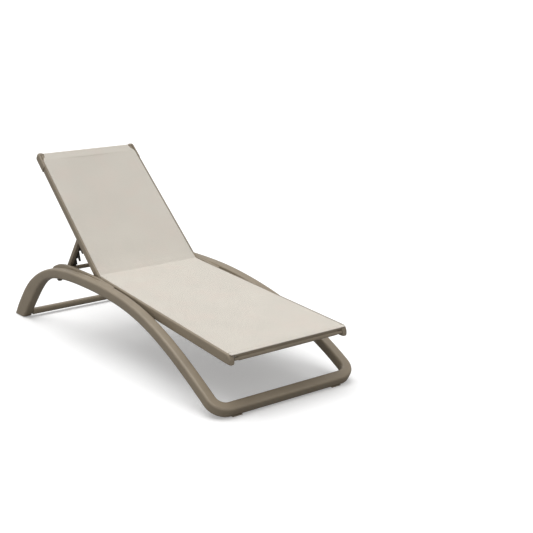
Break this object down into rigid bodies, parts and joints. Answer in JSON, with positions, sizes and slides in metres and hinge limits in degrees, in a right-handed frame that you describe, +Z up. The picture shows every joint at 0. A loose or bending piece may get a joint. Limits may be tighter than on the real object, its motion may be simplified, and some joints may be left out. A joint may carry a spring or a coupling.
{
  "type": "sun lounger",
  "caption": "Stackable sling sun lounger on arched side frames, with a stretched fabric seat and a backrest that a notched folding prop holds up.",
  "frame": {"origin": "on the floor, under the middle of the lounger's bounding box", "axes": "+X across, from the left side of a person lying down to the right as seen from the foot end; +Y along the lounger towards the head end; +Z up"},
  "size_m": [0.743, 1.8967, 0.8641],
  "materials": {
    "taupe_resin": "satin moulded resin, very fine grain",
    "cream_sling": "open plain-weave coated polyester mesh, stretched",
    "dark_nylon": "matte glass-filled nylon",
    "bumper_rubber": "matte",
    "stainless_steel": "satin"
  },
  "bodies": {
    "frame": {"back_hinge_pin_left": "stainless_steel", "back_hinge_pin_right": "stainless_steel", "bracket_screw_left_1": "stainless_steel", "bracket_screw_left_2": "stainless_steel", "bracket_screw_right_1": "stainless_steel", "bracket_screw_right_2": "stainless_steel", "frame_bracket_left": "taupe_resin", "frame_bracket_right": "taupe_resin", "front_floor_bar": "taupe_resin", "front_glide_left": "taupe_resin", "front_glide_right": "taupe_resin", "hinge_crossbar": "taupe_resin", "hinge_washer_left": "dark_nylon", "hinge_washer_right": "dark_nylon", "prop_rest_bar": "taupe_resin", "rail_spacer_left": "taupe_resin", "rail_spacer_right": "taupe_resin", "rear_floor_bar": "taupe_resin", "rear_glide_left": "taupe_resin", "rear_glide_right": "taupe_resin", "seat_front_crossbar": "taupe_resin", "seat_hem_bar": "taupe_resin", "seat_mid_crossbar": "taupe_resin", "seat_rail_cap_left": "taupe_resin", "seat_rail_cap_right": "taupe_resin", "seat_rail_left": "taupe_resin", "seat_rail_right": "taupe_resin", "seat_rail_screw_left": "stainless_steel", "seat_rail_screw_right": "stainless_steel", "seat_sling": "cream_sling", "seat_spline_left": "dark_nylon", "seat_spline_right": "dark_nylon", "side_arch_left": "taupe_resin", "side_arch_right": "taupe_resin", "stack_bumper_left": "bumper_rubber", "stack_bumper_right": "bumper_rubber"},
    "backrest": {"back_end_plug_left": "taupe_resin", "back_end_plug_right": "taupe_resin", "back_hinge_lug_left": "taupe_resin", "back_hinge_lug_right": "taupe_resin", "back_lower_bar": "taupe_resin", "back_rail_left": "taupe_resin", "back_rail_right": "taupe_resin", "back_sling": "cream_sling", "back_spline_left": "dark_nylon", "back_spline_right": "dark_nylon", "back_top_bar": "taupe_resin", "back_top_cap_left": "taupe_resin", "back_top_cap_right": "taupe_resin", "prop_pivot_pin_left": "stainless_steel", "prop_pivot_pin_right": "stainless_steel"},
    "prop": {"prop_arm_left": "taupe_resin", "prop_arm_right": "taupe_resin", "prop_rack_left": "dark_nylon", "prop_rack_right": "dark_nylon", "prop_tie_bar": "taupe_resin", "rack_rivet_left_1": "stainless_steel", "rack_rivet_left_2": "stainless_steel", "rack_rivet_right_1": "stainless_steel", "rack_rivet_right_2": "stainless_steel"}
  },
  "joints": [
    {"name": "back_recline", "type": "hinge", "parent": "frame", "child": "backrest", "pos_m": [0, 0.153, 0.333], "axis": [1, 0, 0], "range_deg": [-36.7, 0]},
    {"name": "prop_fold", "type": "hinge", "parent": "backrest", "child": "prop", "pos_m": [0, 0.37387, 0.52704], "axis": [1, 0, 0], "range_deg": [0, 93.9]}
  ],
  "couplings": [
    {"joint": "prop_fold", "follows": "back_recline", "ratio": -2.5568}
  ]
}
